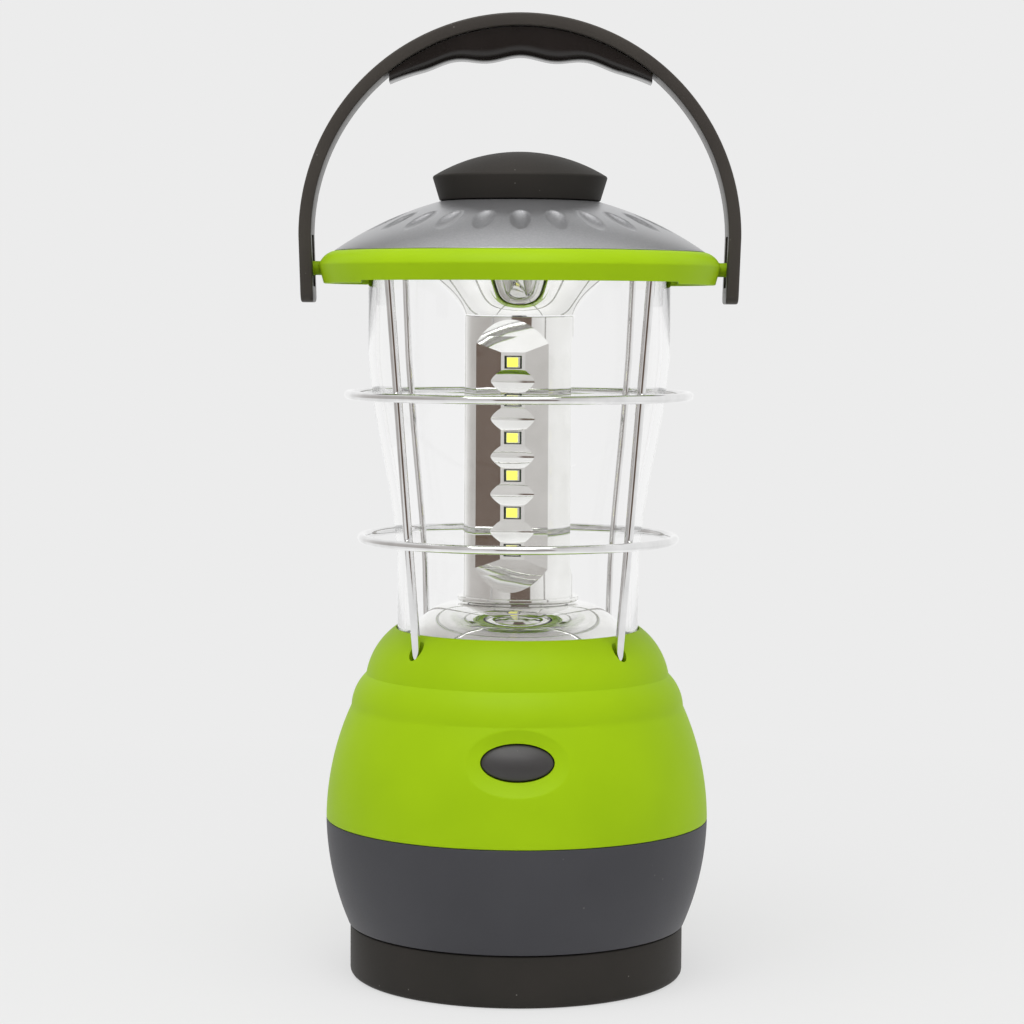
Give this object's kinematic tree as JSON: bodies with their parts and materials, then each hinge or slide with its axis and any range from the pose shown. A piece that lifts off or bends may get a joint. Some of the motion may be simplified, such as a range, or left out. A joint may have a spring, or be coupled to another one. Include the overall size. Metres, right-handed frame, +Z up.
{
  "type": "camping lantern",
  "caption": "Battery camping lantern with a mirrored LED column in a clear chimney, a wire cage, a push button, a twist-off battery foot and a swinging bail handle.",
  "frame": {"origin": "middle of the face that the lantern stands on", "axes": "+Z up along the lantern's axis, -Y towards the push button, +X to the right seen from the front"},
  "size_m": [0.1154, 0.1054, 0.253],
  "materials": {
    "green_plastic": "satin lime green",
    "grey_plastic": "satin dark grey",
    "black_plastic": "satin charcoal",
    "button_plastic": "satin grey",
    "black_rubber": "smooth soft rubber",
    "silver_paint": "silver paint on plastic",
    "chrome_wire": "bright chrome",
    "mirror_plastic": "vacuum-metallised mirror on plastic",
    "clear_plastic": "clear",
    "led_phosphor": "yellow phosphor in a white package",
    "circuit_board": "dark green solder mask",
    "white_plastic": "satin white",
    "brass": "bare",
    "spring_steel": "bright wire",
    "zinc_steel": "zinc plated",
    "cell_jacket": "plain jacket",
    "lead_jacket": "red insulation"
  },
  "bodies": {
    "lantern": {"lower_shell": "grey_plastic", "upper_shell": "green_plastic", "contact_disc": "black_plastic", "contact_spring_1": "spring_steel", "contact_spring_2": "spring_steel", "contact_spring_3": "spring_steel", "battery_cell_1": "cell_jacket", "battery_cell_2": "cell_jacket", "battery_cell_3": "cell_jacket", "battery_cradle": "black_plastic", "bottom_bridge": "brass", "top_bridge": "brass", "positive_plate": "brass", "switch_board": "circuit_board", "push_switch": "black_plastic", "lower_reflector": "mirror_plastic", "reflector_column": "mirror_plastic", "led_board_1": "circuit_board", "led_board_2": "circuit_board", "led_board_3": "circuit_board", "led_1_1": "led_phosphor", "led_1_2": "led_phosphor", "led_1_3": "led_phosphor", "led_1_4": "led_phosphor", "led_1_5": "led_phosphor", "led_1_6": "led_phosphor", "led_2_1": "led_phosphor", "led_2_2": "led_phosphor", "led_2_3": "led_phosphor", "led_2_4": "led_phosphor", "led_2_5": "led_phosphor", "led_2_6": "led_phosphor", "led_3_1": "led_phosphor", "led_3_2": "led_phosphor", "led_3_3": "led_phosphor", "led_3_4": "led_phosphor", "led_3_5": "led_phosphor", "led_3_6": "led_phosphor", "upper_reflector": "mirror_plastic", "chimney": "clear_plastic", "cage_upright_1": "chrome_wire", "cage_upright_2": "chrome_wire", "cage_upright_3": "chrome_wire", "cage_upright_4": "chrome_wire", "cage_hoop_upper": "chrome_wire", "cage_hoop_lower": "chrome_wire", "top_ring": "green_plastic", "shade": "silver_paint", "top_cap": "black_plastic", "tie_screw": "zinc_steel", "deck_screw_1": "zinc_steel", "deck_screw_2": "zinc_steel", "led_lead_1": "lead_jacket", "led_lead_2": "lead_jacket"},
    "bail": {"handle": "black_plastic", "handle_grip": "black_rubber"},
    "button": {"power_button": "button_plastic", "switch_plunger": "white_plastic"},
    "foot": {"battery_cover": "black_plastic", "cover_seal": "black_rubber"}
  },
  "joints": [
    {"name": "handle_swing", "type": "hinge", "parent": "lantern", "child": "bail", "pos_m": [0, 0, 0.1868], "axis": [1, 0, 0], "range_deg": [-110, 110]},
    {"name": "button_press", "type": "slide", "parent": "lantern", "child": "button", "axis": [0, 1, 0], "range_m": [0, 0.0015], "stiffness_N_per_m": 1500},
    {"name": "battery_cover_twist", "type": "hinge", "parent": "lantern", "child": "foot", "pos_m": [0, 0, 0.0135], "axis": [0, 0, 1], "range_deg": [0, 30]}
  ]
}
